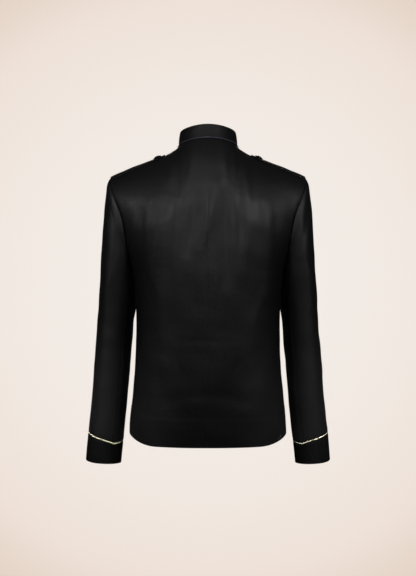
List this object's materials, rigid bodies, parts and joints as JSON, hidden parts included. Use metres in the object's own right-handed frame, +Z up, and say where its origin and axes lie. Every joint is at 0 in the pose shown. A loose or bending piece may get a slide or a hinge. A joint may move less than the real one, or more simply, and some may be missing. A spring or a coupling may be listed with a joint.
{
  "type": "parade jacket",
  "caption": "Hollow stand-collar parade jacket, as worn: black satin-look cloth, shoulder straps, domed buttons down a lapped front, and plain cuffs below pale gold piping.",
  "frame": {"origin": "middle of the neck base, level with the sides of the neck, where the jacket is held on the wearer", "axes": "+Z up along the body, the front faces -Y, and the wearer's left is at +X"},
  "size_m": [0.5652, 0.2593, 0.7659],
  "materials": {
    "black_satin": "soft satin sheen",
    "cuff_cloth": "matt",
    "collar_cloth": "matt",
    "gold_cord": "pale gold, softly shiny",
    "neck_cord": "satin",
    "black_button": "dark, half gloss"
  },
  "bodies": {
    "root": {"back_left": "black_satin", "back_right": "black_satin", "front_left": "black_satin", "front_right": "black_satin", "top_sleeve_left": "black_satin", "top_sleeve_right": "black_satin", "under_sleeve_left": "black_satin", "under_sleeve_right": "black_satin", "shoulder_strap_left": "black_satin", "shoulder_strap_right": "black_satin", "cuff_left": "cuff_cloth", "cuff_right": "cuff_cloth", "collar": "collar_cloth", "cuff_piping_left": "gold_cord", "cuff_piping_right": "gold_cord", "neck_piping": "neck_cord", "strap_button_left": "black_button", "strap_button_right": "black_button", "front_button_1": "black_button", "front_button_2": "black_button", "front_button_3": "black_button", "front_button_4": "black_button", "front_button_5": "black_button", "front_button_6": "black_button", "front_button_7": "black_button"}
  },
  "joints": []
}
